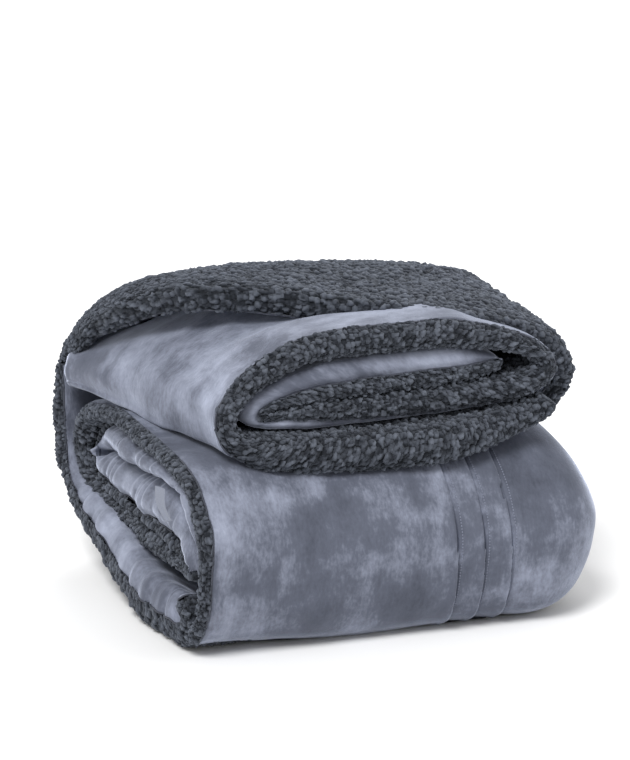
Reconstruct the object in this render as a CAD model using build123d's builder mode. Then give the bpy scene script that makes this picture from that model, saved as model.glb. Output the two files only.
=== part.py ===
from build123d import *
import os

# A throw blanket, folded into a lower roll and a smaller upper roll, with its last leaf
# laid over both. Millimetres, +X along the lower roll, +Y to the back, +Z up, and the
# origin on the floor under the middle of the folded bundle.

# Overall sizes
overall_length = 490.0
overall_depth = 466.0

# Cloth and filling: velvet face, wadding, curly sherpa lining
velvet_cloth = 3.0
sherpa_pile = 9.0
wrap_wadding = 30.0
upper_wadding = 15.0
drape_wadding = 20.0

# Clearances
ply_gap = 1.0
body_gap = 1.1
hinge_gap = 0.6
crease_gap = 3.0
fold_play = 0.1

# Edges: how far the side seam closes a leaf in from its edge
seam_depth = 5.0
seam_recess = 1.0

# Lower roll
drape_overhang = 25.0
drape_setback = 10.0
shoulder_radius = 50.0
toe_radius = 55.0
toe_step = 55.0
toe_flat = 16.0
step_radius = 40.0
base_front = 86.0
base_corner_radius = 90.0
wrap_low_inset = 98.0
wrap_high_inset = 38.0
core_front_inset = 68.0
end_wadding_depth = 15.0
end_velvet_depth = 10.0
end_edge_radius = 8.0

# Upper roll
upper_front = 155.0
upper_back_inset = 63.0
upper_tip_inset = 115.0
upper_fold_inset = 95.0
upper_hem_inset = 60.0

# Flap
flap_front = 104.0
flap_hem_rise = 39.0
flap_back_radius = 60.0
flap_slant_start = 90.0
flap_slant_depth = 100.0
flap_side_drop = 88.0

# Tuck stitches and care label
tuck_count = 3
tuck_pitch = 31.0
tuck_last_inset = 120.0
tuck_reach = 90.0
thread_width = 2.4
thread_depth = 1.2
thread_sink = 0.6
thread_play = 0.2
label_width = 24.0
label_height = 38.0
label_thickness = 0.8
label_front_inset = 104.0

# Worked out from the sizes above
wrap_leaf = velvet_cloth + wrap_wadding + sherpa_pile
upper_leaf = velvet_cloth + upper_wadding + sherpa_pile
drape_leaf = velvet_cloth + drape_wadding + sherpa_pile

left = -overall_length / 2
right = overall_length / 2
front = -overall_depth / 2
back = overall_depth / 2
drape_right = right - drape_setback

base_level = drape_leaf / 2
wrap_low = drape_leaf + ply_gap + wrap_leaf / 2
core_low = wrap_low + wrap_leaf + ply_gap
core_high = core_low + wrap_leaf + crease_gap
wrap_high = core_high + wrap_leaf + ply_gap
lower_top = wrap_high + wrap_leaf / 2

bottom_run = lower_top + body_gap + upper_leaf / 2
middle_run = bottom_run + upper_leaf + ply_gap
inner_run = middle_run + upper_leaf + ply_gap
top_run = inner_run + upper_leaf + ply_gap
overall_height = top_run + upper_leaf / 2 + body_gap + drape_leaf

upper_right_radius = (top_run - middle_run) / 2 - fold_play
upper_left_radius = (top_run - bottom_run) / 2 - fold_play
flap_right_radius = upper_right_radius + upper_leaf / 2 + body_gap + drape_leaf
flap_left_radius = upper_left_radius + upper_leaf / 2 + body_gap + drape_leaf
flap_hinge_level = overall_height - flap_left_radius
riser_face = back - drape_leaf

os.makedirs("parts", exist_ok=True)


def save(piece, label):
    """Name a finished piece and write it."""
    piece.part.label = label
    export_step(piece.part, f"parts/{label}.step")


def move_route(route, radii, distance):
    """Move a route sideways, left of its travel, with its corner radii."""
    points = [Vector(*point) for point in route]
    headings = [(end - start).normalized() for start, end in zip(points, points[1:])]
    normals = [Vector(-heading.Y, heading.X) for heading in headings]
    moved = [points[0] + normals[0] * distance]
    for point, before, after in zip(points[1:-1], normals, normals[1:]):
        moved.append(point + (before + after) * (distance / (1 + before.dot(after))))
    moved.append(points[-1] + normals[-1] * distance)
    turns = [1 if before.cross(after).Z > 0 else -1 for before, after in zip(headings, headings[1:])]
    return moved, [radius - turn * distance for radius, turn in zip(radii, turns)]


def band(route, radii, near, far):
    """Draw the strip between two sideways distances from a route."""
    near_points, near_radii = move_route(route, radii, near)
    far_points, far_radii = move_route(route, radii, far)
    with BuildLine() as outline:
        near_edge = FilletPolyline(*near_points, radius=near_radii)
        far_edge = FilletPolyline(*far_points, radius=far_radii)
        Line(near_edge @ 0, far_edge @ 0)
        Line(near_edge @ 1, far_edge @ 1)
    make_face(outline.edges())


def make_leaf(name, plane, route, radii, wadding, velvet_side, hidden_end, open_end, channels=()):
    """Make a padded leaf: velvet, wadding, sherpa and the seam that closes its open end.

    velvet_side is 1 with the velvet on the left of the route's travel and -1 on the right.
    The ends are distances along the plane's normal.
    """
    half = (velvet_cloth + wadding + sherpa_pile) / 2
    outward = 1 if open_end > hidden_end else -1
    seam_start = open_end - outward * seam_depth
    seam_end = open_end - outward * seam_recess
    wadding_faces = (sherpa_pile - half, half - velvet_cloth)
    pieces = {
        "velvet": (half - velvet_cloth, half, hidden_end, open_end),
        "wadding": (*wadding_faces, hidden_end, seam_start),
        "sherpa": (-half, sherpa_pile - half, hidden_end, open_end),
        "seam": (*wadding_faces, seam_start, seam_end),
    }
    for layer, (near, far, start, end) in pieces.items():
        with BuildPart() as piece:
            with BuildSketch(plane.offset(start)):
                band(route, radii, near * velvet_side, far * velvet_side)
            extrude(amount=end - start)
            if layer == "velvet":
                for channel in channels:
                    add(channel, mode=Mode.SUBTRACT)
        save(piece, f"{name}_{layer}")


# ---- Lower roll ----
leaf_right = right - end_velvet_depth - end_wadding_depth - ply_gap
leaf_left = left + drape_overhang
wrap_front = front + wrap_leaf / 2
toe_level = wrap_leaf / 2
toe_back = wrap_front + toe_radius + toe_flat

# Wrap: velvet outside, from the back under the roll, up the front and back over the top
wrap_route = [
    (back - wrap_low_inset, wrap_low),
    (toe_back + toe_step, wrap_low),
    (toe_back, toe_level),
    (wrap_front, toe_level),
    (wrap_front, wrap_high),
    (back - wrap_high_inset, wrap_high),
]
wrap_radii = [step_radius, step_radius, toe_radius, shoulder_radius]


def tuck_band(middle, width, near, far):
    """Make the strip that a tuck stitch takes round the front of the wrap."""
    route = [(toe_back - fold_play, toe_level), *wrap_route[3:5], (front + tuck_reach, wrap_high)]
    with BuildPart() as strip:
        with BuildSketch(Plane.YZ.offset(middle - width / 2)):
            band(route, wrap_radii[2:], near, far)
        extrude(amount=width)
    return strip


tuck_places = [right - tuck_last_inset - tuck_pitch * step for step in reversed(range(tuck_count))]
thread_top = wrap_leaf / 2 - thread_sink
thread_foot = thread_top - thread_depth
channels = [
    tuck_band(place, thread_width + 2 * thread_play, thread_foot, wrap_leaf / 2 + thread_play).part
    for place in tuck_places
]
make_leaf("wrap", Plane.YZ, wrap_route, wrap_radii, wrap_wadding, 1, leaf_right, leaf_left, channels)

for number, place in enumerate(tuck_places, start=1):
    thread = tuck_band(place, thread_width, thread_foot, thread_top)
    save(thread, f"tuck_stitch_{number}")

# Core: a leaf folded in half inside the wrap, velvet against velvet, with its fold at the back
core_fold_radius = (core_high - core_low) / 2 - fold_play
core_back = riser_face - ply_gap - wrap_leaf / 2
core_route = [
    (front + core_front_inset, core_high),
    (core_back, core_high),
    (core_back, core_low),
    (front + core_front_inset, core_low),
]
make_leaf(
    "core", Plane.YZ, core_route, [core_fold_radius] * 2, wrap_wadding, -1, leaf_right, leaf_left
)

# Base: the last leaf where it lies under the roll and climbs its back, sherpa outside
base_route = [
    (toe_back + base_front, base_level),
    (back - drape_leaf / 2, base_level),
    (back - drape_leaf / 2, lower_top + body_gap / 2 - hinge_gap / 2),
]
make_leaf("base", Plane.YZ, base_route, [base_corner_radius], drape_wadding, 1, drape_right, left)


# Fold at the right-hand end, velvet outside
def end_outline():
    """Draw the end of the lower roll above the base leaf."""
    outer_shoulder = shoulder_radius + wrap_leaf / 2
    inner_corner = base_corner_radius - drape_leaf / 2
    low = drape_leaf + ply_gap
    end_back = riser_face - ply_gap
    with BuildLine() as outline:
        FilletPolyline(
            (front, low),
            (front, lower_top),
            (end_back, lower_top),
            (end_back, low),
            radius=[inner_corner * 0.9, outer_shoulder, wrap_leaf / 2, inner_corner],
            close=True,
        )
    make_face(outline.edges())


with BuildPart() as end_wadding:
    with BuildSketch(Plane.YZ.offset(leaf_right + ply_gap)):
        end_outline()
    extrude(amount=end_wadding_depth)
save(end_wadding, "end_fold_wadding")

with BuildPart() as end_velvet:
    with BuildSketch(Plane.YZ.offset(right - end_velvet_depth)):
        end_outline()
    extrude(amount=end_velvet_depth)
    fillet(end_velvet.faces().sort_by(Axis.X)[-1].edges(), radius=end_edge_radius)
save(end_velvet, "end_fold_velvet")

# Care label, hanging from the seam of the core over its left-hand end
with BuildPart() as care_label:
    label_middle = front + label_front_inset + label_width / 2
    with BuildSketch(Plane.YZ.offset(leaf_left - label_thickness - hinge_gap)):
        with Locations((label_middle, core_high)):
            Rectangle(label_width, label_height)
    extrude(amount=label_thickness)
save(care_label, "care_label")

# ---- Upper roll: a two-turn spiral about Y, velvet outside ----
upper_right = drape_right - drape_leaf - body_gap - upper_leaf / 2
upper_left = left + drape_leaf + body_gap + upper_leaf / 2
inner_fold_radius = (inner_run - middle_run) / 2 - fold_play
upper_route = [
    (right - upper_tip_inset, inner_run),
    (left + upper_fold_inset, inner_run),
    (left + upper_fold_inset, middle_run),
    (upper_right, middle_run),
    (upper_right, top_run),
    (upper_left, top_run),
    (upper_left, bottom_run),
    (right - upper_hem_inset, bottom_run),
]
upper_radii = [inner_fold_radius] * 2 + [upper_right_radius] * 2 + [upper_left_radius] * 2
make_leaf(
    "upper", Plane.XZ, upper_route, upper_radii, upper_wadding, -1, upper_back_inset - back, upper_front
)

# ---- Riser: the last leaf where it climbs the back of the upper roll ----
riser_low = lower_top + body_gap / 2 + hinge_gap / 2
riser_high = flap_hinge_level - hinge_gap / 2
riser_layers = {
    "sherpa": (back - sherpa_pile, back, left, drape_right),
    "wadding": (riser_face + velvet_cloth, back - sherpa_pile, left + seam_depth, drape_right),
    "velvet": (riser_face, riser_face + velvet_cloth, left, drape_right),
    "seam": (riser_face + velvet_cloth, back - sherpa_pile, left + seam_recess, left + seam_depth),
}
for layer, (near, far, start, end) in riser_layers.items():
    with BuildPart() as riser:
        with BuildSketch(Plane.YZ.offset(start)):
            with Locations(((near + far) / 2, (riser_low + riser_high) / 2)):
                Rectangle(far - near, riser_high - riser_low)
        extrude(amount=end - start)
    save(riser, f"riser_{layer}")


# ---- Flap: the last leaf where it is laid over the top ----
def dome(inset, dome_front):
    """Make the solid inside the flap's outer face moved in by inset."""
    high = overall_height - inset
    with BuildPart() as solid:
        with BuildSketch(Plane.XZ.offset(inset - back)):
            with BuildLine():
                arch = FilletPolyline(
                    (drape_right - inset, lower_top),
                    (drape_right - inset, high),
                    (left + inset, high),
                    (left + inset, lower_top),
                    radius=[flap_right_radius - inset, flap_left_radius - inset],
                )
                Line(arch @ 0, arch @ 1)
            make_face()
        extrude(amount=back - inset - dome_front)
        with BuildSketch(Plane.YZ.offset(left)):
            with BuildLine():
                shoulder = FilletPolyline(
                    (dome_front, lower_top),
                    (dome_front, high),
                    (back - inset, high),
                    (back - inset, lower_top),
                    radius=[0, flap_back_radius - inset],
                )
                Line(shoulder @ 0, shoulder @ 1)
            make_face()
        extrude(amount=overall_length, mode=Mode.INTERSECT)
    return solid.part


def cut_flap_edges(edge_front):
    """Cut the flap's free edges: its hem, its slanted left edge and its line over the riser."""
    hem = lower_top + flap_hem_rise
    with BuildSketch(Plane.YZ.offset(left)) as hem_cut:
        with BuildLine():
            Polyline(
                (edge_front, lower_top),
                (back, lower_top),
                (back, flap_hinge_level + hinge_gap / 2),
                (riser_face - hinge_gap, flap_hinge_level + hinge_gap / 2),
                (riser_face - hinge_gap, hem),
                (edge_front, hem),
                close=True,
            )
        make_face()
    extrude(hem_cut.sketch, amount=overall_length, mode=Mode.SUBTRACT)
    with BuildSketch(Plane.XY.offset(lower_top)) as slant_cut:
        with BuildLine():
            Polyline(
                (-flap_slant_start, edge_front),
                (left, edge_front + flap_slant_depth),
                (left, edge_front),
                close=True,
            )
        make_face()
    extrude(slant_cut.sketch, amount=overall_height, mode=Mode.SUBTRACT)
    with BuildSketch(Plane.YZ.offset(left)) as side_cut:
        with BuildLine():
            Polyline(
                (edge_front, hem),
                (edge_front, overall_height - drape_leaf),
                (riser_face, overall_height - drape_leaf - flap_side_drop),
                close=True,
            )
        make_face()
    extrude(side_cut.sketch, amount=flap_left_radius, mode=Mode.SUBTRACT)


flap_edge = -flap_front
flap_layers = {
    "sherpa": (0, sherpa_pile, flap_edge, back),
    "wadding": (sherpa_pile, sherpa_pile + drape_wadding, flap_edge + seam_depth, back),
    "velvet": (sherpa_pile + drape_wadding, drape_leaf, flap_edge, back),
    "seam": (sherpa_pile, sherpa_pile + drape_wadding, flap_edge + seam_recess, flap_edge + seam_depth),
}
for layer, (outer, inner, start, end) in flap_layers.items():
    with BuildPart() as flap:
        add(dome(outer, start))
        add(dome(inner, start - seam_depth), mode=Mode.SUBTRACT)
        if layer == "seam":
            split(bisect_by=Plane.XZ.offset(-end), keep=Keep.TOP)
        cut_flap_edges(start)
    save(flap, f"flap_{layer}")
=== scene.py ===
import math

import bpy
import numpy as np
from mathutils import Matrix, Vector


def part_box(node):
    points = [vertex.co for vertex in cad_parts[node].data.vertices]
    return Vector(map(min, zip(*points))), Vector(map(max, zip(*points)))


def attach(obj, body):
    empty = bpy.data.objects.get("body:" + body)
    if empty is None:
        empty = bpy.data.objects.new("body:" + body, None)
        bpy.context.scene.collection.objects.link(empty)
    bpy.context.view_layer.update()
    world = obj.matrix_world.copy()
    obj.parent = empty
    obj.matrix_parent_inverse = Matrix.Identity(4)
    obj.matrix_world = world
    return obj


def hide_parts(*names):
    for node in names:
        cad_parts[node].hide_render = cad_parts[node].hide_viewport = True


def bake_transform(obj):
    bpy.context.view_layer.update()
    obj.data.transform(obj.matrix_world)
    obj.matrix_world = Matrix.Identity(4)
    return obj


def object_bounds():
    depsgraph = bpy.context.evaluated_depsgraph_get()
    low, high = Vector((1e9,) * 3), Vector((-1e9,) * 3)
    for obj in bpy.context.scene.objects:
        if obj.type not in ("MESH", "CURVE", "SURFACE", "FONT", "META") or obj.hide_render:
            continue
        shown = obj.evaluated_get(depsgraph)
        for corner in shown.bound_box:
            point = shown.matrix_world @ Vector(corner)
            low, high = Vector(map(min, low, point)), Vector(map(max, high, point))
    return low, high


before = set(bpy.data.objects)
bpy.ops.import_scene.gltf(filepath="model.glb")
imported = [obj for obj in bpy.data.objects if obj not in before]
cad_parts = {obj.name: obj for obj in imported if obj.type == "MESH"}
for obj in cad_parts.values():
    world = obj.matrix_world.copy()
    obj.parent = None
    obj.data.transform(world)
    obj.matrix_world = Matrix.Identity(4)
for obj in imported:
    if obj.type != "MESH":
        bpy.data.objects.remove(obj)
cad_box = [list(map(float, corner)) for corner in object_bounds()]

MM = 0.001

# The folded bundle, in the frame's millimetres
LEFT = cad_box[0][0] / MM
RIGHT, BACK = (c / MM for c in cad_box[1][:2])
ROLL_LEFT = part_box("wrap_velvet")[0][0] / MM
ROLL_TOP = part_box("wrap_velvet")[1][2] / MM
DRAPE_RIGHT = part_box("riser_sherpa")[1][0] / MM
HINGE_LOW, HINGE_HIGH = (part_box("riser_sherpa")[i][2] / MM for i in (0, 1))
# Height at which the last leaf's lower mesh hands over to its upper one
SPLIT = HINGE_LOW + 5
TINY = 1e-9


# ---------------------------------------------------------------- noise on the cloth
HASH_X, HASH_Y, HASH_SEED, HASH_MIX = 73856093, 19349663, 83492791, 1274126177
HASH_MASK = 0xFFFFFF


def hashed(ix, iy, seed):
    """Steady random numbers from 0 to 1 on a lattice."""
    h = (ix.astype(np.int64) * HASH_X) ^ (iy.astype(np.int64) * HASH_Y) ^ (seed * HASH_SEED)
    h = (h ^ (h >> 13)) * HASH_MIX
    h = (h ^ (h >> 16)) & HASH_MASK
    return h / float(HASH_MASK)


def soft(u, v, size, seed):
    """Smooth noise from -1 to 1, with lumps of about the given size."""
    x, y = u / size, v / size
    ix, iy = np.floor(x), np.floor(y)
    fx, fy = x - ix, y - iy
    fx, fy = fx * fx * (3 - 2 * fx), fy * fy * (3 - 2 * fy)
    near = hashed(ix, iy, seed) * (1 - fx) + hashed(ix + 1, iy, seed) * fx
    far = hashed(ix, iy + 1, seed) * (1 - fx) + hashed(ix + 1, iy + 1, seed) * fx
    return (near * (1 - fy) + far * fy) * 2 - 1


def curls(u, v, size, seed):
    """Height from 0 to 1 of a curly pile, and the way from each curl's middle."""
    wander, jitter, reach = 0.35, 0.7, 0.85
    u = u + wander * size * soft(u, v, size * 1.3, seed + 1)
    v = v + wander * size * soft(u, v, size * 1.3, seed + 2)
    x, y = u / size, v / size
    ix, iy = np.floor(x), np.floor(y)
    best = np.full(x.shape, 9.0)
    du, dv, tall = np.zeros(x.shape), np.zeros(x.shape), np.zeros(x.shape)
    for i in (-1, 0, 1):
        for j in (-1, 0, 1):
            cx = ix + i + 0.15 + jitter * hashed(ix + i, iy + j, seed)
            cy = iy + j + 0.15 + jitter * hashed(ix + i, iy + j, seed + 7)
            far = np.hypot(x - cx, y - cy)
            nearer = far < best
            best = np.where(nearer, far, best)
            du, dv = np.where(nearer, x - cx, du), np.where(nearer, y - cy, dv)
            tall = np.where(nearer, hashed(ix + i, iy + j, seed + 13), tall)
    height = np.sqrt(np.clip(1 - (best / reach) ** 2, 0, 1)) * (0.55 + 0.45 * tall)
    return height, du * size, dv * size


# ---------------------------------------------------------------- curves and grids
def smooth(points, count):
    """Points evenly spaced along a Catmull-Rom curve through the given ones."""
    p = np.array(points, float)
    p = np.vstack([2 * p[0] - p[1], p, 2 * p[-1] - p[-2]])
    t = np.linspace(0, 1, 24, endpoint=False)[:, None]
    spans = []
    for a, b, c, d in zip(p, p[1:], p[2:], p[3:]):
        square, cube = 2 * a - 5 * b + 4 * c - d, 3 * b - a - 3 * c + d
        spans.append(0.5 * (2 * b + (c - a) * t + square * t**2 + cube * t**3))
    fine = np.vstack([*spans, p[-2:-1]])
    along = lengths(fine)
    even = np.linspace(0, along[-1], count)
    return np.stack([np.interp(even, along, fine[:, k]) for k in range(fine.shape[1])], 1)


def lengths(points):
    """Distance along a line of points, at each of them."""
    return np.concatenate([[0], np.cumsum(np.linalg.norm(np.diff(points, axis=0), axis=1))])


def ease(x):
    """A smooth step from 0 to 1."""
    x = np.clip(x, 0, 1)
    return x * x * (3 - 2 * x)


def grid_normals(p):
    """Unit normals of a grid of points, rows by columns."""
    n = np.cross(np.gradient(p, axis=0), np.gradient(p, axis=1))
    return n / np.maximum(np.linalg.norm(n, axis=2, keepdims=True), TINY)


def grid_cloth(p):
    """Distances over a grid of points, down the rows and across the columns."""
    down = np.linalg.norm(np.diff(p, axis=0), axis=2).mean(axis=1)
    across = np.linalg.norm(np.diff(p, axis=1), axis=2).mean(axis=0)
    rows = np.concatenate([[0], np.cumsum(down)])
    columns = np.concatenate([[0], np.cumsum(across)])
    return np.meshgrid(rows, columns, indexing="ij")


def sheet_mesh(name, p, material, cloth=None, depth=None):
    """A mesh from a grid of points in millimetres, with cloth coordinates and pile depth."""
    rows, columns = p.shape[:2]
    index = np.arange(rows * columns).reshape(rows, columns)
    corners = [index[:-1, :-1], index[1:, :-1], index[1:, 1:], index[:-1, 1:]]
    quads = np.stack(corners, -1).reshape(-1, 4)
    mesh = bpy.data.meshes.new(name)
    mesh.from_pydata((p.reshape(-1, 3) * MM).tolist(), [], quads.tolist())
    if cloth is not None:
        loops = quads.reshape(-1)
        flat = np.stack([cloth[0].reshape(-1)[loops], cloth[1].reshape(-1)[loops]], 1) * MM
        mesh.uv_layers.new(name="Cloth").data.foreach_set("uv", flat.reshape(-1).astype(np.float32))
    # Pile height, which the sherpa material turns into painted shade between the curls
    if depth is not None:
        values = mesh.attributes.new("pile", "FLOAT", "POINT").data
        values.foreach_set("value", depth.reshape(-1).astype(np.float32))
    mesh.polygons.foreach_set("use_smooth", [True] * len(quads))
    mesh.materials.append(material)
    obj = bpy.data.objects.new(name, mesh)
    bpy.context.scene.collection.objects.link(obj)
    return obj


# Height of the pile and size of a curl; small curls ride on the big ones
PILE = 9.0
CURL = 4.9
SMALL_CURL = 0.47


def add_pile(p, seed, share=1.0, cloth=None, sign=1):
    """Raise a curly pile off a grid of points; returns the points and the pile's depth."""
    u, v = grid_cloth(p) if cloth is None else cloth
    n = grid_normals(p) * sign
    along = np.gradient(p, axis=0)
    along /= np.maximum(np.linalg.norm(along, axis=2, keepdims=True), TINY)
    across = np.cross(n, along)
    high, du, dv = curls(u, v, CURL, seed)
    fine, fu, fv = curls(u, v, CURL * SMALL_CURL, seed + 50)
    ridge = 1 - 1.7 * np.abs(soft(u, v, CURL * 0.75, seed + 9))
    height = 0.56 * high + 0.30 * fine * (0.4 + 0.6 * high) + 0.26 * ridge * (0.3 + 0.7 * high)
    clump = 0.5 + 0.5 * soft(u, v, 19, seed + 3)
    lift = PILE * share * (height - 0.45 + 0.30 * (clump - 0.5))
    lean = share * 0.55 * high
    flip = np.sign(np.sum(across * np.gradient(p, axis=1), axis=2))
    moved = p + n * lift[..., None]
    moved = moved + along * (lean * du + 0.3 * share * fine * fu)[..., None]
    moved = moved + across * (flip * (lean * dv + 0.3 * share * fine * fv))[..., None]
    return moved, np.clip(height, 0, 1)


# ---------------------------------------------------------------- materials
def node_material(name):
    """A new material with its nodes, links and shader."""
    material = bpy.data.materials.new(name)
    material.use_nodes = True
    nodes, links = material.node_tree.nodes, material.node_tree.links
    return material, nodes, links, nodes["Principled BSDF"]


def noise(nodes, links, vector, scale, detail, rough=0.55, stretch=None, seed=0.0):
    """A noise texture on the cloth's own coordinates, stretched if asked."""
    if stretch:
        mapping = nodes.new("ShaderNodeMapping")
        mapping.inputs["Scale"].default_value = (*stretch, 1)
        links.new(vector, mapping.inputs["Vector"])
        vector = mapping.outputs["Vector"]
    texture = nodes.new("ShaderNodeTexNoise")
    texture.noise_dimensions = "4D"
    texture.inputs["W"].default_value = seed
    texture.inputs["Scale"].default_value = scale
    texture.inputs["Detail"].default_value = detail
    texture.inputs["Roughness"].default_value = rough
    links.new(vector, texture.inputs["Vector"])
    return texture.outputs["Fac"]


def ramp(nodes, links, value, stops):
    """A colour ramp from positions and colours."""
    node = nodes.new("ShaderNodeValToRGB")
    while len(node.color_ramp.elements) < len(stops):
        node.color_ramp.elements.new(0.5)
    for element, (place, colour) in zip(node.color_ramp.elements, stops):
        element.position = place
        element.color = (*colour, 1)
    links.new(value, node.inputs["Fac"])
    return node.outputs["Color"]


def math_node(nodes, links, kind, a, b):
    """A sum or product of two sockets or numbers."""
    node = nodes.new("ShaderNodeMath")
    node.operation = kind
    for socket, value in zip(node.inputs, (a, b)):
        if isinstance(value, (int, float)):
            socket.default_value = value
        else:
            links.new(value, socket)
    return node.outputs[0]


def add_share(nodes, links, total, value, share):
    """A running total with a share of another value added."""
    part = math_node(nodes, links, "MULTIPLY", value, share)
    return math_node(nodes, links, "ADD", total, part)


def add_bump(nodes, links, shader, height, strength, distance):
    """Fine relief on a shader."""
    bump = nodes.new("ShaderNodeBump")
    bump.inputs["Strength"].default_value = strength
    bump.inputs["Distance"].default_value = distance
    links.new(height, bump.inputs["Height"])
    links.new(bump.outputs["Normal"], shader.inputs["Normal"])


VELVET_DARK = (0.036, 0.041, 0.058)
VELVET_MIDDLE = (0.094, 0.104, 0.139)
VELVET_LIGHT = (0.38, 0.413, 0.52)
# The sherpa's deep and middle colours are painted shade between the curls; the tip colour is the
# pile's own
SHERPA_GAP_PAINTED_SHADE = (0.0015, 0.002, 0.003)
SHERPA_PAINTED_HALF_SHADE = (0.012, 0.014, 0.019)
SHERPA_TIP = (0.112, 0.125, 0.155)


def make_velvet(name, light, seed):
    """Brushed velvet: nap turned in light and dark patches and streaks, over a fine weave; light
    shifts the whole tone up for painted light and down for painted shade.
    """
    material, nodes, links, shader = node_material(name)
    cloth = nodes.new("ShaderNodeTexCoord").outputs["UV"]
    patches = noise(nodes, links, cloth, 9, 6, 0.60, seed=seed)
    streaks = noise(nodes, links, cloth, 30, 6, 0.66, (0.5, 1.3), seed)
    brushed = noise(nodes, links, cloth, 300, 3, 0.65, (0.5, 1.0))
    mixed = math_node(nodes, links, "MULTIPLY", patches, 0.66)
    mixed = add_share(nodes, links, mixed, streaks, 0.25)
    mixed = add_share(nodes, links, mixed, brushed, 0.13)
    # Whole-tone offset: painted light when raised, painted shade when lowered
    mixed = math_node(nodes, links, "ADD", mixed, light)
    stops = [(0.35, VELVET_DARK), (0.51, VELVET_MIDDLE), (0.71, VELVET_LIGHT)]
    colour = ramp(nodes, links, mixed, stops)
    links.new(colour, shader.inputs["Base Color"])
    shader.inputs["Roughness"].default_value = 0.72
    shader.inputs["Specular IOR Level"].default_value = 0.25
    shader.inputs["Sheen Weight"].default_value = 1.0
    shader.inputs["Sheen Roughness"].default_value = 0.34
    shader.inputs["Sheen Tint"].default_value = (0.72, 0.78, 0.95, 1)
    nap = noise(nodes, links, cloth, 1500, 2, 0.6, (0.6, 1.0))
    crush = noise(nodes, links, cloth, 60, 4, 0.6)
    height = add_share(nodes, links, crush, nap, 0.35)
    add_bump(nodes, links, shader, height, 0.5, 0.0012)
    return material


def make_sherpa(name):
    """Curly sherpa pile: dark grey-blue at the curls' tips, with painted shade down to near-black
    between the curls.
    """
    material, nodes, links, shader = node_material(name)
    cloth = nodes.new("ShaderNodeTexCoord").outputs["UV"]
    pile = nodes.new("ShaderNodeAttribute")
    pile.attribute_name = "pile"
    patches = noise(nodes, links, cloth, 24, 3)
    fibres = noise(nodes, links, cloth, 700, 4, 0.7)
    # The pile height darkens the colour towards the gaps between the curls: painted shade
    value = math_node(nodes, links, "MULTIPLY", pile.outputs["Fac"], 0.75)
    value = add_share(nodes, links, value, patches, 0.22)
    value = add_share(nodes, links, value, fibres, 0.26)
    stops = [(0.42, SHERPA_GAP_PAINTED_SHADE), (0.66, SHERPA_PAINTED_HALF_SHADE), (1.0, SHERPA_TIP)]
    colour = ramp(nodes, links, value, stops)
    links.new(colour, shader.inputs["Base Color"])
    shader.inputs["Roughness"].default_value = 0.95
    shader.inputs["Specular IOR Level"].default_value = 0.15
    shader.inputs["Sheen Weight"].default_value = 0.2
    shader.inputs["Sheen Roughness"].default_value = 0.6
    shader.inputs["Sheen Tint"].default_value = (0.75, 0.82, 0.95, 1)
    add_bump(nodes, links, shader, noise(nodes, links, cloth, 520, 5, 0.7), 0.7, 0.0012)
    return material


def make_thread(name, colour, scale):
    """Twisted sewing thread or ribbed tape."""
    material, nodes, links, shader = node_material(name)
    cloth = nodes.new("ShaderNodeTexCoord").outputs["Object"]
    tone = noise(nodes, links, cloth, scale, 3)
    dark = tuple(c * 0.6 for c in colour)
    links.new(ramp(nodes, links, tone, [(0.3, dark), (0.7, colour)]), shader.inputs["Base Color"])
    shader.inputs["Roughness"].default_value = 0.6
    add_bump(nodes, links, shader, tone, 0.4, 0.0004)
    return material


# The wrap and the end fold take the darker copy as painted shade; the core, the upper roll and the
# last leaf take the lighter copy as painted light
velvet = make_velvet("velvet_nap", -0.01, 7.0)
velvet_painted_lit = make_velvet("velvet_nap_painted_lit", 0.045, 3.0)
sherpa = make_sherpa("sherpa_pile")
seam_thread = make_thread("seam_thread", (0.05, 0.056, 0.078), 900)
tuck_thread = make_thread("tuck_thread", (0.20, 0.22, 0.29), 900)
label_tape = make_thread("label_tape", (0.25, 0.275, 0.35), 1200)


# ---------------------------------------------------------------- leaves with one open end
def place(curve, across, swap):
    """Points in space from a curve in a leaf's plane and its place along the leaf."""
    across = np.broadcast_to(across, curve.shape[:1])
    if swap:
        return np.stack([curve[:, 0], across, curve[:, 1]], 1)
    return np.stack([across, curve[:, 0], curve[:, 1]], 1)


def offset_curve(curve, distance):
    """A plane curve moved to the right of its travel."""
    step = np.gradient(curve, axis=0)
    step /= np.maximum(np.linalg.norm(step, axis=1, keepdims=True), TINY)
    return curve + np.stack([step[:, 1], -step[:, 0]], 1) * np.asarray(distance)[:, None]


def spread(values, count):
    """Values spread evenly along a curve of count points."""
    return np.interp(np.linspace(0, 1, count), np.linspace(0, 1, len(values)), values)


def tips(count, length, rounding):
    """A factor that closes a leaf's thickness at both ends of its curve."""
    along = np.linspace(0, length, count)
    near = np.clip(np.minimum(along, length - along) / rounding, 0, 1)
    return np.sqrt(np.clip(1 - (1 - near) ** 2, 0.0004, 1))


def facing(p, towards):
    """1 or -1, so that the grid's normals face the given way on the whole."""
    return 1 if np.sum(grid_normals(p) * towards) > 0 else -1


TAPE_RADIUS, TAPE_OUT = 1.1, 0.8


def tube(name, line, radius):
    """A sewn tape along a line of points, as a thin tube."""
    along = lengths(line)
    even = np.linspace(0, along[-1], int(along[-1] / 2.5))
    line = np.stack([np.interp(even, along, line[:, k]) for k in range(3)], 1)
    way = np.gradient(line, axis=0)
    way /= np.maximum(np.linalg.norm(way, axis=1, keepdims=True), TINY)
    side = np.cross(way, [0.31, 0.52, 0.79])
    side /= np.maximum(np.linalg.norm(side, axis=1, keepdims=True), TINY)
    up = np.cross(side, way)
    turn = np.linspace(0, 2 * np.pi, 8)[None, :, None]
    p = line[:, None] + radius * (side[:, None] * np.cos(turn) + up[:, None] * np.sin(turn))
    return sheet_mesh(name, p, seam_thread, grid_cloth(p))


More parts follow.
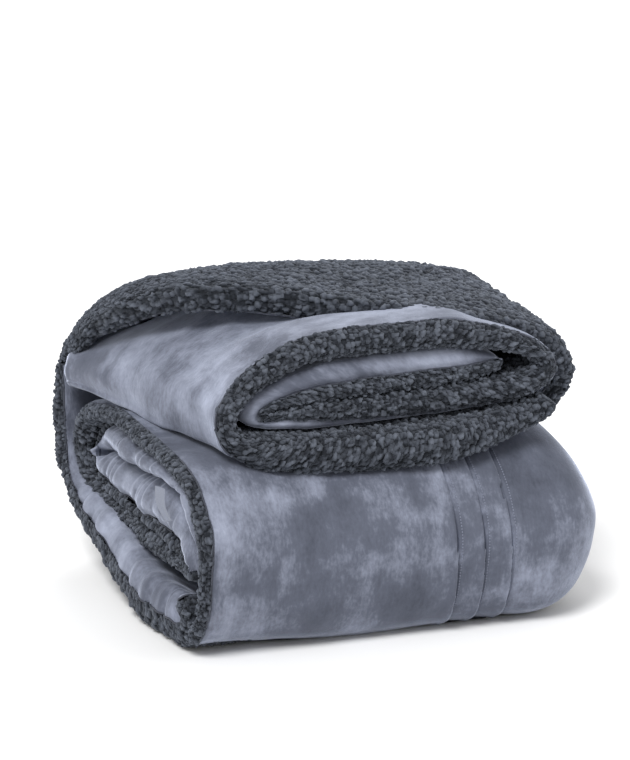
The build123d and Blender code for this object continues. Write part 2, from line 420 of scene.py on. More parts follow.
def finish_piece(obj, body, *nodes, slot="velvet", bend=None, fill=0.6):
    """Attach a finished piece of cloth to the body it rides on, or bake its place in when a bend is
    given, and hide the parts it stands for.
    """
    if bend:
        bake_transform(obj)
    else:
        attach(obj, body)
    if nodes:
        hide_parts(*nodes)
    return obj


def make_leaf(
    name, section, rows, open_at, sign, columns, swap, seam, bulge, seed, relief, cloth, fine=1.5,
):
    """A padded leaf whose edge shows at its open end, as a velvet and a sherpa mesh.

    section(depth, count) gives the velvet curve and the sherpa curve in the plane across the
    leaf at a depth behind the open end. open_at is where that end is along the leaf, sign the
    way that depth grows. columns are the depths of the velvet's and the sherpa's grid lines.
    rows are their numbers of points round the curve. swap lays the leaf's open end across y
    and not x. seam is how far round the edge the velvet reaches, in degrees; bulge how far it
    swells. relief is the velvet's own shape and cloth its material. fine is the pile's grid step.
    """
    def edge(count, turns, swell):
        a, b = section(0.0, count)
        middle, half = (a + b) / 2, (a - b) / 2
        start = np.radians(spread(seam, count))
        out = spread(bulge, count)
        lines = []
        for t in turns:
            angle = start * t if t <= 1 else start + (np.pi - start) * (t - 1)
            curve = middle + half * np.cos(angle)[:, None]
            notch = 1 - 0.38 * np.exp(-(((angle - start) / 0.28) ** 2))
            lines.append((curve, -sign * out * np.sin(angle) * notch * swell(t)))
        return lines

    def grid(count, depths, lines, which):
        face = []
        for d in depths:
            pair = section(d, count)
            curve = (pair[0] + pair[1]) / 2 if d == depths.max() else pair[which]
            face.append(place(curve, spread(open_at, count) + sign * d, swap))
        face += [place(curve, spread(open_at, count) + out, swap) for curve, out in lines]
        return np.stack(face, 1)

    edge_lines = 13
    count = rows[0]
    depths = np.sort(columns[0])[::-1]
    lines = edge(count, np.linspace(0, 1, edge_lines + 1)[1:], lambda t: 1)
    p = grid(count, depths, lines, 0)
    u, v = grid_cloth(p)
    pair = section(columns[0].max() / 2, count)
    way = place(pair[0] - pair[1], 0.0, swap)[:, None]
    n = grid_normals(p) * facing(p[:, : len(columns[0])], way)
    inside = np.concatenate([depths, np.zeros(edge_lines)])[None]
    p = p + n * relief(u, v, p, inside)[..., None]
    cover = sheet_mesh(name + "_velvet_cloth", p, cloth, (u, v))
    away = [0, sign * -TAPE_OUT, 0] if swap else [sign * -TAPE_OUT, 0, 0]
    tape = tube(name + "_seam_tape", p[4:-4, -1] + away, TAPE_RADIUS)

    count = rows[1]
    pair = section(0.0, count)
    tall = np.linalg.norm(pair[0] - pair[1], axis=1).max()
    turns = np.linspace(1, 2, max(8, int(tall * 1.5 / fine)))
    lines = edge(count, turns, lambda t: 1 + 0.30 * np.sin(np.pi * min(1, (t - 1) * 1.1)))
    depths = np.sort(columns[1])[::-1]
    p = grid(count, depths, lines[::-1], 1)
    pair = section(columns[1].max() / 2, count)
    way = place(pair[1] - pair[0], 0.0, swap)[:, None]
    facing_out = facing(p[:, : len(depths)], way)
    step = np.abs(np.gradient(depths))
    share = np.concatenate([np.clip(2.2 - step / fine, 0.12, 1), np.ones(len(lines))])[None]
    ends = np.minimum(np.arange(count), np.arange(count)[::-1])[:, None]
    share = share * np.clip(ends / 6, 0.2, 1)
    p, pile = add_pile(p, seed, share, sign=facing_out)
    lining = sheet_mesh(name + "_sherpa_pile", p, sherpa, grid_cloth(p), pile)
    return cover, lining, tape


def leaf_depths(dense, fine, deep, coarse):
    """Depths of a grid's lines: fine near the open end, coarse inside."""
    return np.concatenate([np.arange(0, dense, fine), np.arange(dense, deep, coarse), [deep]])


# ---------------------------------------------------------------- lower roll
# The right-hand end rounds off between these two, drawing in to a ridge
END_START, END_TIP = RIGHT - 95, RIGHT - 3
END_MIDDLE = (-18.0, ROLL_TOP / 2)
END_POWER = 2.3


END_RIDGE = 0.54


def close_end(curve, x):
    """Draw a section of the lower roll in towards the ridge of its right-hand end."""
    t = np.clip((x - END_START) / (END_TIP - END_START), 0, 1)
    k = (1 - t**END_POWER) ** (1 / END_POWER)
    y = END_MIDDLE[0] + (curve[:, 0] - END_MIDDLE[0]) * (END_RIDGE + (1 - END_RIDGE) * k)
    z = END_MIDDLE[1] + (curve[:, 1] - END_MIDDLE[1]) * k
    return np.stack([y, z], 1)


WRAP_LEFT = [
    (-188, 86), (-150, 82), (-99, 77), (-47, 71), (-6, 70), (26, 76), (72, 71), (113, 69),
    (160, 70), (192, 80), (209, 102), (214, 128), (207, 152), (190, 170), (152, 188), (72, 206),
    (-9, 209), (-89, 208), (-155, 202), (-192, 187), (-216, 166), (-231, 145), (-233, 115),
    (-230, 82), (-226, 55), (-200, 20), (-164, 3),
]
WRAP_LEFT_LINING = [
    (-186, 92), (-150, 94), (-99, 97), (-47, 97), (-6, 98), (26, 99), (72, 98), (113, 97),
    (146, 98), (164, 106), (172, 118), (174, 130), (171, 144), (161, 157), (140, 169),
    (72, 188), (-9, 191), (-89, 190), (-148, 184), (-176, 170), (-190, 150), (-204, 135),
    (-211, 112), (-214, 84), (-213, 62), (-194, 36), (-156, 22),
]
WRAP_MIDDLE = [
    (-150, 40), (-120, 38), (-90, 36), (-47, 35), (-6, 35), (26, 35), (72, 35), (113, 35),
    (156, 38), (184, 52), (198, 80), (201, 110), (199, 140), (192, 166), (150, 192), (72, 206),
    (-9, 207), (-85, 205), (-140, 194), (-178, 175), (-207, 150), (-226, 125), (-233, 100),
    (-231, 72), (-224, 44), (-206, 16), (-180, 1),
]


def wrap_section(depth, count):
    """The wrap in the plane across it: open at the left end, even further in."""
    t = ease(depth / 150)
    a = smooth(np.array(WRAP_LEFT) * (1 - t) + np.array(WRAP_MIDDLE) * t, count)
    lining = smooth(WRAP_LEFT_LINING, count)
    deep = offset_curve(a, np.full(count, -30.0))
    inner = lining * (1 - ease(depth / 60)) + deep * ease(depth / 60)
    b = a + (inner - a) * tips(count, lengths(a)[-1], 14)[:, None]
    x = ROLL_LEFT + depth
    return close_end(a, x), close_end(b, x)


def middle_x(corners):
    """Halfway across a box, in millimetres."""
    return (corners[0][0] + corners[1][0]) / 2 / MM


TUCKS = [middle_x(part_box(f"tuck_stitch_{i}")) for i in (1, 2, 3)]


def tuck_relief(x):
    """The step at each tuck: swelling up to the stitches on the left, sunk just right of them."""
    h = np.zeros(x.shape)
    for line in TUCKS:
        d = x - line
        step = np.where(d < 0, 4.4 * np.exp(d / 6.5), -2.8 * np.exp(-d / 8))
        h += step - 2.2 * np.exp(-((d / 1.4) ** 2))
    return h


def wrap_relief(u, v, p, inside):
    """Loose stuffing, puckers at the open end, and the tucks."""
    rounding = 5.0 * soft(u, v, 120, 11) + 2.2 * soft(u, v, 52, 12)
    pucker = 1.3 * soft(u, v * 0.4, 11, 13) * np.exp(-inside / 14)
    end = ease((END_TIP - p[..., 0]) / 60)
    return (rounding * 0.6 + 0.4 * soft(u, v, 23, 15)) * end + pucker + tuck_relief(p[..., 0])


wrap_columns = np.concatenate([
    np.arange(0, 30, 1.6),
    np.arange(30, END_START - ROLL_LEFT, 3.5),
    *[line - ROLL_LEFT + np.arange(-9, 9, 0.7) for line in TUCKS],
    (END_START + (END_TIP - END_START) * np.sin(np.linspace(0, np.pi / 2, 34))) - ROLL_LEFT,
])
wrap_columns = np.unique(np.round(wrap_columns, 2))
WRAP_ROWS, WRAP_LINING_ROWS = 420, 860
WRAP_SEAM = [24, 24, 24, 26, 30, 40, 46, 44, 38, 34, 34, 34, 34, 34]
WRAP_BULGE = [8, 8, 8, 9, 11, 12, 12, 12, 11, 11, 11]
wrap_edge = ROLL_LEFT + 6 + 3.0 * np.sin(np.linspace(0, 9, 24)) + 2 * np.cos(np.linspace(0, 23, 24))
wrap_cover, wrap_lining, wrap_tape = make_leaf(
    "wrap", wrap_section, (WRAP_ROWS, WRAP_LINING_ROWS), wrap_edge, 1,
    (wrap_columns, leaf_depths(34, 1.5, 330, 26)), False,
    WRAP_SEAM, WRAP_BULGE, 101, wrap_relief, velvet,
)
finish_piece(wrap_cover, "lower_fold", "wrap_velvet", "wrap_wadding")
finish_piece(wrap_lining, "lower_fold", "wrap_sherpa", slot="sherpa")
finish_piece(wrap_tape, "lower_fold", "wrap_seam", slot="seam_tape", fill=None)

# Core: folded in half with its velvet inside; gathered where the fold pinches it
CREASE = [
    (-206, 118), (-196, 136), (-176, 147), (-140, 160), (-89, 167), (-48, 163), (1, 156),
    (49, 152), (95, 149), (132, 138), (154, 128), (162, 124),
]
CORE_UPPER = [
    (-214, 124), (-206, 144), (-184, 166), (-146, 184), (-99, 188), (-55, 191), (-8, 190),
    (49, 184), (92, 180), (130, 168), (156, 146), (168, 126),
]
CORE_LOWER = [
    (162, 108), (146, 101), (110, 97), (65, 97), (15, 97), (-35, 97), (-85, 97), (-130, 95),
    (-165, 91), (-192, 88), (-206, 92),
]
CREASE_BACK = [
    (158, 121), (134, 131), (95, 144), (49, 149), (1, 152), (-48, 159), (-89, 162), (-138, 154),
    (-172, 141), (-192, 126), (-202, 108),
]


def core_section(depth, count):
    """The core in the plane across it, its velvet crease closing further in."""
    t = ease(depth / 90)
    a = smooth(CREASE + CREASE_BACK, count)
    b = smooth(CORE_UPPER + CORE_LOWER, count)
    middle = (a + b) / 2
    close = tips(count, lengths(a)[-1], 12)[:, None]
    return middle + (a - middle) * close * (1 - 0.12 * t), middle + (b - middle) * close


def core_relief(u, v, p, inside):
    """Gathers that run in from the open end."""
    edge = np.exp(-inside / 26)
    folds = np.abs(soft(u, v * 0.22, 15, 31)) - 0.5
    lobes = soft(u, v * 0.3, 30, 32)
    return edge * (3.4 * folds + 3.6 * lobes) + 1.2 * soft(u, v, 24, 33)


CORE_SEAM = [
    154, 156, 156, 156, 156, 156, 154, 126, 122, 128, 118, 128, 120, 118, 118, 116,
]
CORE_BULGE = [20, 26, 25, 19, 19, 24, 26]
core_edge = ROLL_LEFT + 14 + 4 * np.sin(np.linspace(0, 16, 30))
core_cover, core_lining, core_tape = make_leaf(
    "core", core_section, (420, 560), core_edge, 1,
    (leaf_depths(44, 2.2, 330, 20), leaf_depths(34, 1.7, 330, 24)), False,
    CORE_SEAM, CORE_BULGE, 161, core_relief, velvet_painted_lit,
)
finish_piece(core_cover, "lower_fold", "core_velvet", "core_wadding")
finish_piece(core_lining, "lower_fold", "core_sherpa", slot="sherpa")
finish_piece(core_tape, "lower_fold", "core_seam", slot="seam_tape", fill=None)

# Right-hand end: the fold of the strip, under and behind the wrap
END_OVERLAP = 60
END_REST = [(-196, 18), (-182, 14), (-166, 24), (-150, 36), (-132, 46), (-110, 52)]


def end_grid():
    """The end's face, from inside the wrap out to the ridge."""
    first = END_START - END_OVERLAP
    xs = first + (END_TIP - END_START + END_OVERLAP) * np.sin(np.linspace(0, np.pi / 2, 60))
    return np.stack([place(close_end(smooth(END_REST, 120), x), x, False) for x in xs], 1)


p = end_grid()
u, v = grid_cloth(p)
outward = facing(p, p - np.array([0, END_MIDDLE[0], END_MIDDLE[1]]))
p = p + grid_normals(p) * outward * (1.2 * soft(u, v, 40, 41))[..., None]
end_cover = sheet_mesh("end_fold_velvet_cloth", p, velvet, (u, v))
finish_piece(end_cover, "lower_fold", "end_fold_velvet", "end_fold_wadding")

# ---------------------------------------------------------------- upper roll
UPPER_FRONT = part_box("upper_velvet")[0][1] / MM
UPPER_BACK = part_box("upper_velvet")[1][1] / MM
SPIRAL_VELVET = [
    (143, 289), (100, 297), (57, 299), (0, 299), (-50, 296), (-99, 284), (-136, 266),
    (-152, 247), (-138, 232), (-86, 226), (-28, 225), (57, 226), (110, 229), (155, 233),
    (190, 243), (208, 262), (202, 286), (172, 308), (113, 327), (62, 333), (-28, 333),
    (-89, 323), (-135, 302), (-168, 275), (-184, 247), (-180, 221), (-158, 199), (-122, 186),
    (-40, 180), (25, 180), (92, 187), (162, 203), (208, 222),
]
SPIRAL_SHERPA = [
    (150, 273), (110, 261), (57, 258), (0, 258), (-50, 257), (-90, 255), (-112, 253),
    (-120, 250), (-112, 249), (-86, 253), (-28, 256), (57, 256), (110, 258), (150, 262),
    (172, 268), (183, 275), (174, 285), (150, 292), (108, 299), (57, 302), (-28, 302),
    (-80, 296), (-118, 280), (-146, 262), (-160, 244), (-154, 231), (-140, 224), (-100, 222),
    (-28, 221), (34, 221), (100, 224), (150, 229), (194, 241),
]
SPIRAL_INNER_BOTTOM = [
    (-232, 222), (-178, 213), (-125, 210), (-40, 210), (25, 210), (92, 211), (162, 215),
    (200, 224),
]


# The roll's underside, its depth, and how far its left side goes over at the back
UPPER_FLOOR, UPPER_DEPTH, UPPER_SKEW = 210, 342, 56


def upper_section(depth, count):
    """The upper roll in the plane across it, lower and further left towards the back."""
    t = ease(depth / 95)
    back = depth / (UPPER_BACK - UPPER_FRONT)
    a, b = np.array(SPIRAL_VELVET, float), np.array(SPIRAL_SHERPA, float)
    a[-8:] = a[-8:] * (1 - t) + np.array(SPIRAL_INNER_BOTTOM) * t
    a[-8, 0] = -180 - 2 * t
    a, b = smooth(a, count), smooth(b, count)
    middle = (a + b) / 2
    close = tips(count, lengths(a)[-1], 13)[:, None]
    a, b = middle + (a - middle) * close, middle + (b - middle) * close
    y = UPPER_FRONT + depth
    fall = 1 - 0.11 * ease((y + 110) / 60)
    fall = fall - 0.33 * np.clip((y - 20) / 150, 0, 1) ** 1.6
    for curve in (a, b):
        curve[:, 1] = UPPER_FLOOR + (curve[:, 1] - UPPER_FLOOR) * fall
        curve[:, 0] -= UPPER_SKEW * back * ease((-curve[:, 0] - 40) / 150)
        curve[:, 1] -= 9 * back * ease((-curve[:, 0] - 100) / 110)
    return a, b


def upper_relief(u, v, p, inside):
    """Soft lumps outside, small folds at the open end, pinched at the left."""
    rounding = 3.0 * soft(u, v, 80, 51) + 1.4 * soft(u, v, 34, 52)
    outer = ease((u - 780) / 60)
    folds = 1.8 * soft(u, v * 0.3, 17, 53) * np.exp(-inside / 30)
    pinched = ease((-p[..., 0] - 60) / 90) * outer
    lumps = (0.35 + 0.65 * outer) * rounding + 0.5 * folds
    return lumps + pinched * 3.2 * soft(u, v * 0.22, 21, 54)


upper_open = np.interp(
    np.linspace(0, 1, 60), [0, 0.2, 0.45, 0.62, 0.70, 0.78, 0.9, 1.0],
    [-134, -136, -140, -132, -134, -158, -172, -150],
) + 2.5 * np.sin(np.linspace(0, 40, 60))
UPPER_SEAM = [96, 98, 98, 94, 84, 56, 46, 38, 34, 30, 26, 24, 30, 30, 26, 20, 14, 14]
UPPER_BULGE = [12, 12, 12, 13, 14, 16, 15]
upper_cover, upper_lining, upper_tape = make_leaf(
    "upper", upper_section, (640, 1280), upper_open, 1,
    (leaf_depths(40, 2.2, UPPER_DEPTH, 4.5), leaf_depths(40, 1.6, UPPER_DEPTH, 22)), True,
    UPPER_SEAM, UPPER_BULGE, 201, upper_relief, velvet_painted_lit,
)
finish_piece(upper_cover, "upper_fold", "upper_velvet", "upper_wadding")
finish_piece(upper_lining, "upper_fold", "upper_sherpa", slot="sherpa")
finish_piece(upper_tape, "upper_fold", "upper_seam", slot="seam_tape", fill=None)

# ---------------------------------------------------------------- last leaf: base, riser, flap
SIDE_LEFT = [
    (-198, 50), (-195, 30), (-182, 12), (-160, 3), (-135, 0), (-95, 0), (-45, 4), (15, 14),
    (80, 28), (150, 47), (200, 72), (226, 106), (233, 145), (233, 180), (233, SPLIT),
]
SIDE_MIDDLE = [
    (-186, 40), (-184, 26), (-176, 12), (-158, 3), (-130, 0), (-90, 0), (-30, 0), (40, 0),
    (100, 1), (160, 8), (205, 34), (228, 76), (233, 125), (233, 180), (233, SPLIT),
]
ARCH = [
    (226, 222), (237, 244), (236, 276), (217, 301), (188, 313), (140, 325), (80, 336), (0, 346),
    (-90, 351), (-140, 348), (-184, 334), (-214, 307), (-231, 272), (-236, 243),
]
FLAP_EDGE = [
    (0, -112), (50, -122), (120, -114), (200, -100), (260, -85), (330, -58), (395, -20),
    (450, 16), (500, 62), (545, 120), (585, 175), (640, 212),
]
WALL_LEFT, BASE_LEFT, BASE_RIGHT = -236.0, -219.0, 176
# Heights of the arch's ends and of its rise above them
ARCH_FOOT, ARCH_RISE = 225, 126


def top_profile(ceiling, end_y, count):
    """From the back wall up, round the back edge and forward over the top at one height."""
    share = np.clip((ceiling - ARCH_FOOT) / ARCH_RISE, 0, 1)
    long, tall = 40 + 146 * share, 22 + 84 * share
    turn = np.linspace(0, np.pi / 2, 30)
    bend = [(BACK - long * (1 - math.cos(a)), ceiling - tall * (1 - math.sin(a))) for a in turn]
    front = [(-60, ceiling), (-100, ceiling - 3), (-130, ceiling - 9)]
    line = np.array([(BACK, SPLIT), *bend, *front])
    along = lengths(line)
    reach = np.interp(-end_y, -line[1:, 0], along[1:])
    even = np.linspace(0, reach, count)
    return np.stack([np.interp(even, along, line[:, 0]), np.interp(even, along, line[:, 1])], 1)


def drape_face(columns, low_rows, high_rows):
    """The leaf's outer face as a grid, from under the bundle up the back and over the top."""
    line = smooth(ARCH, columns)
    width = lengths(line)[-1]
    edge_at, edge_y = np.array(FLAP_EDGE).T
    grid = []
    for i, (x, ceiling) in enumerate(line):
        share = i / (columns - 1)
        flat = DRAPE_RIGHT - 4 + (WALL_LEFT - DRAPE_RIGHT + 4) * share
        t = ease((flat - LEFT) / 200)
        side = smooth(np.array(SIDE_LEFT) * (1 - t) + np.array(SIDE_MIDDLE) * t, low_rows)
        top = top_profile(ceiling, float(np.interp(share * width, edge_at, edge_y)), high_rows)
        column = np.vstack([side, top[1:]])
        left = BASE_LEFT - 10 * ease((column[:, 0] + 150) / 90)
        low = BASE_RIGHT + (left - BASE_RIGHT) * share
        rise = ease((column[:, 1] - 20) / 90)
        wall = low * (1 - rise) + flat * rise
        up = ease((column[:, 1] - 110) / max(ceiling - 130, 60))
        up[low_rows:] = np.maximum.accumulate(up[low_rows:])
        grid.append(np.stack([wall * (1 - up) + x * up, column[:, 0], column[:, 1]], 1))
    return np.stack(grid, 1)


def evened(way, rows):
    """Unit vectors averaged down a grid over a number of rows."""
    padded = np.concatenate([way[:1].repeat(rows, 0), way, way[-1:].repeat(rows, 0)])
    total = np.cumsum(padded, axis=0)
    mean = total[2 * rows:] - np.concatenate([np.zeros((1, *way.shape[1:])), total[: len(way) - 1]])
    return mean / np.maximum(np.linalg.norm(mean, axis=2, keepdims=True), TINY)


def rolled(p, thick, out, steps, turns, inner):
    """A face carried round the edges of its leaf, by up to a set angle at each edge.

    turns are the angles at the first and last row, and at the first and last column. inner
    gives the face on the leaf's inside and not its outside.
    """
    rows, columns = p.shape[:2]
    n = grid_normals(p)
    n *= facing(p, p - BUNDLE_MIDDLE)
    down, across = np.gradient(p, axis=0), np.gradient(p, axis=1)
    down /= np.linalg.norm(down, axis=2, keepdims=True)
    across /= np.linalg.norm(across, axis=2, keepdims=True)
    n, across = evened(n, 30), evened(across, 30)
    n = evened(n.swapaxes(0, 1), 20).swapaxes(0, 1)
    k = np.linspace(1, 0, steps + 1)[:-1]
    r = np.concatenate([np.zeros(steps), np.arange(rows), np.full(steps, rows - 1)]).astype(int)
    c = np.concatenate([np.zeros(steps), np.arange(columns), np.full(steps, columns - 1)])
    c = c.astype(int)
    tr = np.concatenate([-k * turns[0], np.zeros(rows), k[::-1] * turns[1]])[:, None]
    kc = np.concatenate([-k, np.zeros(columns), k[::-1]])[None]
    tc = kc * np.where(kc < 0, turns[2][r][:, None], turns[3][r][:, None])
    pick = np.ix_(r, c)
    size = np.maximum(np.hypot(tr, tc), TINY)
    way = (down[pick] * (tr / size)[..., None]) + (across[pick] * (tc / size)[..., None])
    turn = np.radians(np.maximum(np.abs(tr), np.abs(tc)))[..., None]
    half, swell = thick[pick][..., None] / 2, out[pick][..., None]
    level = -half * (1 - np.cos(turn))
    if inner:
        level = -2 * half - level
    return p[pick] + n[pick] * level + way * swell * np.sin(turn)


BUNDLE_MIDDLE = np.array([0.0, 0.0, 150.0])
# Spacing of the last leaf's grid, and the number of lines round each of its edges
STEP = 1.45
SHERPA_STEPS, VELVET_STEPS = 26, 10
# How far each face is carried round the leaf's free edges, in degrees
SHERPA_TURN, SHERPA_TURN_BASE = 150.0, 96
VELVET_TURN, VELVET_TURN_BASE = 34.0, 88
LOW_ROWS, HIGH_ROWS, COLUMNS = int(575 / STEP), int(430 / STEP), int(590 / STEP)
outer = drape_face(COLUMNS, LOW_ROWS, HIGH_ROWS)
u, v = grid_cloth(outer)
n = grid_normals(outer)
n *= facing(outer, outer - BUNDLE_MIDDLE)
free = ease((outer[..., 2] - 2) / 30)
lift = 3.5 * soft(u, v, 130, 61) + 1.5 * soft(u, v, 60, 62) - 2.5
outer = outer + n * (lift * free)[..., None]
at_left = ease((WALL_LEFT + 85 - outer[..., 0]) / 75)
low_part = ease((95 - outer[..., 2]) / 90) * ease((outer[..., 1] + 205) / 40)
corner_y, corner_z = (outer[..., 1] - BACK + 20) / 50, (outer[..., 2] - SPLIT - 20) / 42
corner = np.exp(-(corner_y**2) - corner_z**2)
corner *= ease((np.abs(outer[..., 0]) - 165) / 50)
thick = (27 + 31 * at_left * low_part) * (1 - 0.82 * corner)
out = (11 + 5 * at_left * low_part) * (1 - 0.85 * corner)
height = outer[:, -1, 2]
lower = np.arange(len(outer)) < LOW_ROWS

sherpa_left = np.where(lower, 100 + 62 * ease((height - 40) / 80), 162)
sherpa_right = np.full(len(outer), SHERPA_TURN)
angles = (SHERPA_TURN_BASE, SHERPA_TURN, sherpa_right, sherpa_left)
S = rolled(outer, thick, out, SHERPA_STEPS, angles, False)
u, v = grid_cloth(S)
above = ease((S[..., 2] - 1) / 9)
face = S[SHERPA_STEPS:-SHERPA_STEPS, SHERPA_STEPS:-SHERPA_STEPS]
outward = facing(face, outer - BUNDLE_MIDDLE)
S, pile = add_pile(S, 301, 0.35 + 0.65 * above, (u, v), outward)
S[..., 2] = np.maximum(S[..., 2], 0.3)
LOW_BEND = (
    ("lower_fold", "upper_fold"),
    (0, BACK * MM, (SPLIT - 22) * MM), (0, BACK * MM, (SPLIT - 1) * MM),
)
HIGH_BEND = (
    ("upper_fold", "top_flap"),
    (0, BACK * MM, HINGE_HIGH * MM - 0.016), (0, (BACK - 43) * MM, HINGE_HIGH * MM + 0.038),
)
cut = SHERPA_STEPS + LOW_ROWS
lower_part, upper_part = slice(0, cut), slice(cut - 1, None)
for name, part, stands_for, bend in (
    (
        "drape_lower_sherpa_pile", lower_part,
        ("base_sherpa", "base_wadding", "riser_sherpa"), LOW_BEND,
    ),
    (
        "drape_upper_sherpa_pile", upper_part,
        ("flap_sherpa", "flap_wadding", "riser_wadding"), HIGH_BEND,
    ),
):
    piece = sheet_mesh(name, S[part], sherpa, (u[part], v[part]), pile[part])
    finish_piece(piece, None, *stands_for, slot="sherpa", bend=bend)

velvet_right = np.full(len(outer), VELVET_TURN)
angles = (VELVET_TURN_BASE, VELVET_TURN, velvet_right, 180 - sherpa_left + 4)
V = rolled(outer, thick, out, VELVET_STEPS, angles, True)
u, v = grid_cloth(V)
creases = 2.0 * soft(u, v, 50, 71) + 0.8 * soft(u, v, 16, 72)
end_side = ease((WALL_LEFT + 60 - V[..., 0]) / 50) * ease((130 - V[..., 2]) / 50)
creases += end_side * 5 * (np.abs(soft(u, v * 0.22, 22, 73)) - 0.4)
V = V - grid_normals(V) * facing(V, V - BUNDLE_MIDDLE) * creases[..., None]
cut = VELVET_STEPS + LOW_ROWS
# Every third grid line does for the smooth face; the lines round its edges all stay
ends = np.arange(12)
keep = np.unique(np.concatenate([np.arange(0, V.shape[1], 3), ends, V.shape[1] - 1 - ends]))
rows_low = np.unique(np.concatenate([np.arange(0, cut, 3), ends, [cut - 1]]))
rows_high = np.unique(np.concatenate([np.arange(cut - 1, V.shape[0], 3), V.shape[0] - 1 - ends]))
low_hem = np.vstack([V[:cut, 0][::-1], V[0], V[:cut, -1]])
high_hem = np.vstack([V[cut - 1:, 0], V[-1], V[cut - 1:, -1][::-1]])
for name, hem, stands_for, bend in (
    ("drape_lower_seam_tape", low_hem, ("base_seam",), LOW_BEND),
    ("drape_upper_seam_tape", high_hem, ("flap_seam", "riser_seam"), HIGH_BEND),
):
    piece = tube(name, hem, TAPE_RADIUS)
    finish_piece(piece, None, *stands_for, slot="seam_tape", bend=bend, fill=None)
for name, rows, stands_for, bend in (
    ("drape_lower_velvet_cloth", rows_low, ("base_velvet", "riser_velvet"), LOW_BEND),
    ("drape_upper_velvet_cloth", rows_high, ("flap_velvet",), HIGH_BEND),
):
    pick = np.ix_(rows, keep)
    piece = sheet_mesh(name, V[pick], velvet_painted_lit, (u[pick], v[pick]))
    finish_piece(piece, None, *stands_for, bend=bend)


# ---------------------------------------------------------------- stitches and label
STITCH_PITCH, STITCH_LENGTH, STITCH_RADIUS = 3.3, 2.2, 0.75
STITCH_SIDES, STITCH_RINGS = 6, ((0, 0.45), (0.25, 1), (0.75, 1), (1, 0.45))


def stitches(name, line, node):
    """A line of sewn stitches lying in a tuck."""
    along = lengths(line)
    verts, faces = [], []
    sides = range(STITCH_SIDES)
    last = (len(STITCH_RINGS) - 1) * STITCH_SIDES
    for start in np.arange(2, along[-1] - 3, STITCH_PITCH):
        reach = [start + STITCH_LENGTH * f for f, _ in STITCH_RINGS]
        places = [np.array([np.interp(at, along, line[:, k]) for k in range(3)]) for at in reach]
        way = places[-1] - places[0]
        way /= np.linalg.norm(way)
        side = np.array([1.0, 0, 0])
        up = np.cross(side, way)
        first = len(verts)
        for middle, (_, size) in zip(places, STITCH_RINGS):
            for a in sides:
                turn = a * math.pi / 3
                round_about = side * math.cos(turn) + up * math.sin(turn)
                verts.append(middle + round_about * STITCH_RADIUS * size)
        for ring in range(first, first + last, STITCH_SIDES):
            for a in sides:
                b = (a + 1) % STITCH_SIDES
                faces.append([ring + a, ring + b, ring + STITCH_SIDES + b, ring + STITCH_SIDES + a])
        faces.append([first + a for a in sides][::-1])
        faces.append([first + last + a for a in sides])
    mesh = bpy.data.meshes.new(name)
    mesh.from_pydata([tuple(v * MM) for v in verts], [], faces)
    mesh.materials.append(tuck_thread)
    obj = bpy.data.objects.new(name, mesh)
    bpy.context.scene.collection.objects.link(obj)
    return finish_piece(obj, "lower_fold", node, slot="thread", fill=None)


wrap_points = np.array([v.co for v in wrap_cover.data.vertices]).reshape(WRAP_ROWS, -1, 3) / MM
for number, x in enumerate(TUCKS, start=1):
    column = np.argmin(np.abs(wrap_points[WRAP_ROWS // 2, :, 0] - x - 0.7))
    line = wrap_points[:, column]
    shown = (line[:, 1] < -95) & (line[:, 2] > 80 + line[:, 1] * 0.35)
    stitches(f"tuck_thread_{number}", line[shown], f"tuck_stitch_{number}")

# Blank care label, sewn into the crease over the core
LABEL_AT, LABEL_THICK = ROLL_LEFT - 21, 0.0006
LABEL_LONG, LABEL_WIDE = 30, 20
LABEL = [
    [(-118, 172), (-136, 176), (-152, 178)],
    [(-132, 158), (-146, 162), (-160, 164)],
    [(-160, 143), (-168, 147), (-176, 149)],
]
tab = np.array([smooth(edge, LABEL_WIDE) for edge in LABEL])
tab = smooth(tab.reshape(len(LABEL), -1), LABEL_LONG).reshape(LABEL_LONG, LABEL_WIDE, 2)
bow = np.linspace(0, 1, LABEL_LONG)[:, None] * np.ones(LABEL_WIDE)
ribs = np.cos(np.linspace(0, 5, LABEL_WIDE))[None] * bow
tab_x = LABEL_AT - 3 * np.sin(np.pi * bow) - ribs
tab = np.stack([tab_x, tab[..., 0], tab[..., 1]], 2)
label_obj = sheet_mesh("care_label_tab", tab, label_tape, grid_cloth(tab))
thicken = label_obj.modifiers.new("thickness", "SOLIDIFY")
thicken.thickness = LABEL_THICK
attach(label_obj, "lower_fold")
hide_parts("care_label")

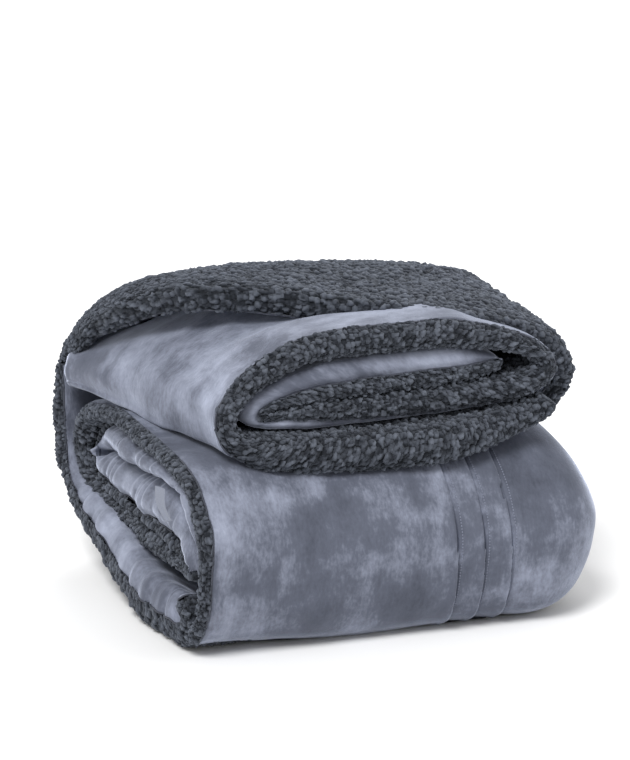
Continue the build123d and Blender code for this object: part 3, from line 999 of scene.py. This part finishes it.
# ---------------------------------------------------------------- floor, light and camera
FLOOR_HALF = 30
floor_mesh = bpy.data.meshes.new("floor")
floor_corners = [
    (x * FLOOR_HALF, y * FLOOR_HALF, 0) for x, y in ((-1, -1), (1, -1), (1, 1), (-1, 1))
]
floor_mesh.from_pydata(floor_corners, [], [(0, 1, 2, 3)])
floor = bpy.data.objects.new("floor", floor_mesh)
bpy.context.scene.collection.objects.link(floor)
paper, _, _, shader = node_material("paper")
shader.inputs["Base Color"].default_value = (0.9, 0.9, 0.9, 1)
shader.inputs["Roughness"].default_value = 0.9
floor_mesh.materials.append(paper)

world = bpy.data.worlds.new("studio")
bpy.context.scene.world = world
world.use_nodes = True
sky = world.node_tree.nodes["Background"]
sky.inputs["Color"].default_value = (1, 1, 1, 1)
sky.inputs["Strength"].default_value = 0.6


def lamp(name, at, aim, power, size):
    """A square area light pointed at a place."""
    light = bpy.data.lights.new(name, "AREA")
    light.energy, light.size = power, size
    obj = bpy.data.objects.new(name, light)
    obj.location = at
    obj.rotation_euler = (Vector(aim) - Vector(at)).to_track_quat("-Z", "Y").to_euler()
    bpy.context.scene.collection.objects.link(obj)


sun = bpy.data.objects.new("sun", bpy.data.lights.new("sun", "SUN"))
sun.data.energy, sun.data.angle = 2.5, math.radians(24)
sun.rotation_euler = Vector((1.1, 1.25, -2.2)).to_track_quat("-Z", "Y").to_euler()
bpy.context.scene.collection.objects.link(sun)
lamp("fill", (2.0, -1.4, 1.4), (0, 0, 0.15), 10, 1.6)
lamp("rim", (0.6, 1.8, 1.9), (0, 0, 0.2), 22, 1.2)

camera = bpy.data.objects.new("camera", bpy.data.cameras.new("camera"))
bpy.context.scene.collection.objects.link(camera)
bpy.context.scene.camera = camera
AZIMUTH, ELEVATION, DISTANCE = math.radians(-20), math.radians(16.2), 6.0
AIM = Vector((0, 0, 0.17))
PAN_UP, PAN_LEFT = 0.0607, 0.0152
away = Vector((
    math.sin(AZIMUTH) * math.cos(ELEVATION),
    -math.cos(AZIMUTH) * math.cos(ELEVATION),
    math.sin(ELEVATION),
))
camera.rotation_mode = "QUATERNION"
camera.rotation_quaternion = (-away).to_track_quat("-Z", "Y")
side = camera.rotation_quaternion @ Vector((1, 0, 0))
up = camera.rotation_quaternion @ Vector((0, 1, 0))
camera.data.lens = 258
camera.location = AIM + away * DISTANCE + up * PAN_UP - side * PAN_LEFT
bpy.context.scene.view_settings.view_transform = "Standard"

bpy.context.view_layer.update()
